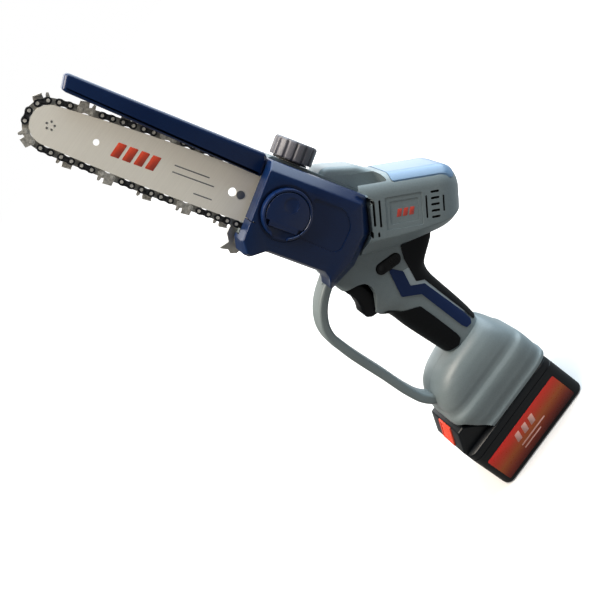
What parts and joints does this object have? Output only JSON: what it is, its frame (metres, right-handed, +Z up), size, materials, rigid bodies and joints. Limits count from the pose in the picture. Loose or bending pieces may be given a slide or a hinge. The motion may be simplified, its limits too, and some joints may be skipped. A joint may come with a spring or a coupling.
{
  "type": "chainsaw",
  "caption": "Cordless one-hand pruning chainsaw standing on its battery, with a laminated bar, toothed chain, hinged upper guard and closed hand guard.",
  "frame": {"origin": "centre of the battery's flat underside, which the saw stands on", "axes": "+Z up the grip, -X to the front of the battery, where the underside of the bar points, -Y to the side with the sprocket cover"},
  "size_m": [0.1985, 0.0805, 0.5434],
  "materials": {
    "bar_steel": "ground and satin polished",
    "chain_steel": "blued, oiled",
    "cutter_steel": "chromed cutter plate",
    "machined_steel": "turned and ground",
    "navy_plastic": "moulded, fine satin texture",
    "grey_plastic": "moulded, fine satin texture",
    "pale_blue_plastic": "moulded, semi-gloss",
    "dark_plastic": "moulded, fine texture",
    "cap_plastic": "moulded, semi-gloss",
    "aluminium_casting": "as cast",
    "soft_rubber": "overmoulded elastomer",
    "blue_rubber": "overmoulded elastomer",
    "release_orange": "moulded",
    "label_film": "printed film",
    "cell_wrap": "shrink-wrapped cell",
    "circuit": "glass fibre board",
    "seal_rubber": "moulded ring",
    "natural_plastic": "blow moulded"
  },
  "bodies": {
    "saw": {"bar_plate_left": "bar_steel", "bar_plate_right": "bar_steel", "bar_core": "bar_steel", "nose_bearing_race": "machined_steel", "bar_rivets": "machined_steel", "chain_drive_links": "cutter_steel", "chain_tie_straps": "chain_steel", "chain_cutters_left": "cutter_steel", "chain_cutters_right": "cutter_steel", "chain_rivets": "machined_steel", "spindle_bearings": "machined_steel", "pinion_bearing": "machined_steel", "motor_can": "machined_steel", "motor_end_bell": "dark_plastic", "sprocket_cover": "navy_plastic", "bar_stud": "machined_steel", "gear_case": "grey_plastic", "gear_case_lid": "grey_plastic", "gear_frame": "aluminium_casting", "oil_tank": "natural_plastic", "oil_cap_seal": "seal_rubber", "oil_pump": "machined_steel", "bumper_spike": "bar_steel", "bumper_screw": "machined_steel", "tension_pin": "machined_steel", "guard_pin": "machined_steel", "guard_bracket": "dark_plastic", "housing_left": "grey_plastic", "housing_right": "grey_plastic", "top_insert": "pale_blue_plastic", "housing_screws": "machined_steel", "hand_guard": "grey_plastic", "grip_strap": "blue_rubber", "grip_heel": "soft_rubber", "grip_palm_pad": "soft_rubber", "switch_box": "dark_plastic", "trigger_spring": "machined_steel", "control_board": "circuit", "terminal_block": "dark_plastic"},
    "nose_sprocket": {"nose_sprocket": "machined_steel"},
    "spindle": {"spindle": "machined_steel", "drive_sprocket": "machined_steel", "spindle_clip": "machined_steel", "bevel_gear": "machined_steel"},
    "rotor": {"bevel_pinion": "machined_steel", "motor_shaft": "machined_steel", "motor_rotor": "machined_steel", "cooling_fan": "dark_plastic"},
    "knob": {"cover_knob": "navy_plastic"},
    "wing": {"knob_wing": "navy_plastic"},
    "oil_cap": {"oil_cap": "cap_plastic"},
    "guard": {"upper_guard": "navy_plastic"},
    "trigger": {"trigger": "dark_plastic"},
    "lock_off": {"lock_off_button": "dark_plastic"},
    "battery": {"battery_tray": "dark_plastic", "battery_lid": "dark_plastic", "battery_cells": "cell_wrap", "battery_label": "label_film"},
    "front_release": {"battery_button_front": "release_orange"},
    "rear_release": {"battery_button_rear": "release_orange"}
  },
  "joints": [
    {"name": "drive_spin", "type": "hinge", "parent": "saw", "child": "spindle", "pos_m": [0.03153, 0, 0.29517], "axis": [0, 1, 0], "continuous": true},
    {"name": "motor_spin", "type": "hinge", "parent": "saw", "child": "rotor", "pos_m": [0.03153, 0.005, 0.29517], "axis": [0.7009, 0, -0.7133], "continuous": true},
    {"name": "nose_sprocket_spin", "type": "hinge", "parent": "saw", "child": "nose_sprocket", "pos_m": [-0.03315, -0.008, 0.52073], "axis": [0, 1, 0], "continuous": true},
    {"name": "guard_swing", "type": "hinge", "parent": "saw", "child": "guard", "pos_m": [0.0448, -0.0085, 0.3733], "axis": [0, 1, 0], "range_deg": [0, 55], "stiffness_Nm_per_rad": 0.15, "springref_deg": -68.75},
    {"name": "knob_turn", "type": "hinge", "parent": "saw", "child": "knob", "pos_m": [0.01955, -0.04, 0.33693], "axis": [0, -1, 0], "range_deg": [0, 360]},
    {"name": "wing_fold", "type": "hinge", "parent": "knob", "child": "wing", "pos_m": [0.0083, -0.041, 0.33371], "axis": [0.2756, 0, -0.9613], "range_deg": [0, 90]},
    {"name": "oil_cap_turn", "type": "hinge", "parent": "saw", "child": "oil_cap", "pos_m": [0.06382, 0.006, 0.34869], "axis": [0.9613, 0, 0.2756], "range_deg": [0, 270]},
    {"name": "trigger_pull", "type": "slide", "parent": "saw", "child": "trigger", "axis": [1, 0, 0], "range_m": [0, 0.006], "stiffness_N_per_m": 500, "springref_m": -0.004, "deforming": ["trigger_spring"]},
    {"name": "lock_off_press", "type": "slide", "parent": "saw", "child": "lock_off", "axis": [0, 1, 0], "range_m": [0, 0.0025], "stiffness_N_per_m": 600, "springref_m": -0.002},
    {"name": "battery_slide", "type": "slide", "parent": "saw", "child": "battery", "axis": [0, 0, -1], "range_m": [0, 0.06]},
    {"name": "front_release_press", "type": "slide", "parent": "battery", "child": "front_release", "axis": [0.8387, 0, -0.5446], "range_m": [0, 0.003], "stiffness_N_per_m": 500, "springref_m": -0.002},
    {"name": "rear_release_press", "type": "slide", "parent": "battery", "child": "rear_release", "axis": [-1, 0, 0], "range_m": [0, 0.003], "stiffness_N_per_m": 500, "springref_m": -0.002}
  ],
  "couplings": [
    {"joint": "motor_spin", "follows": "drive_spin", "ratio": -3},
    {"joint": "nose_sprocket_spin", "follows": "drive_spin", "ratio": 1.1429}
  ]
}
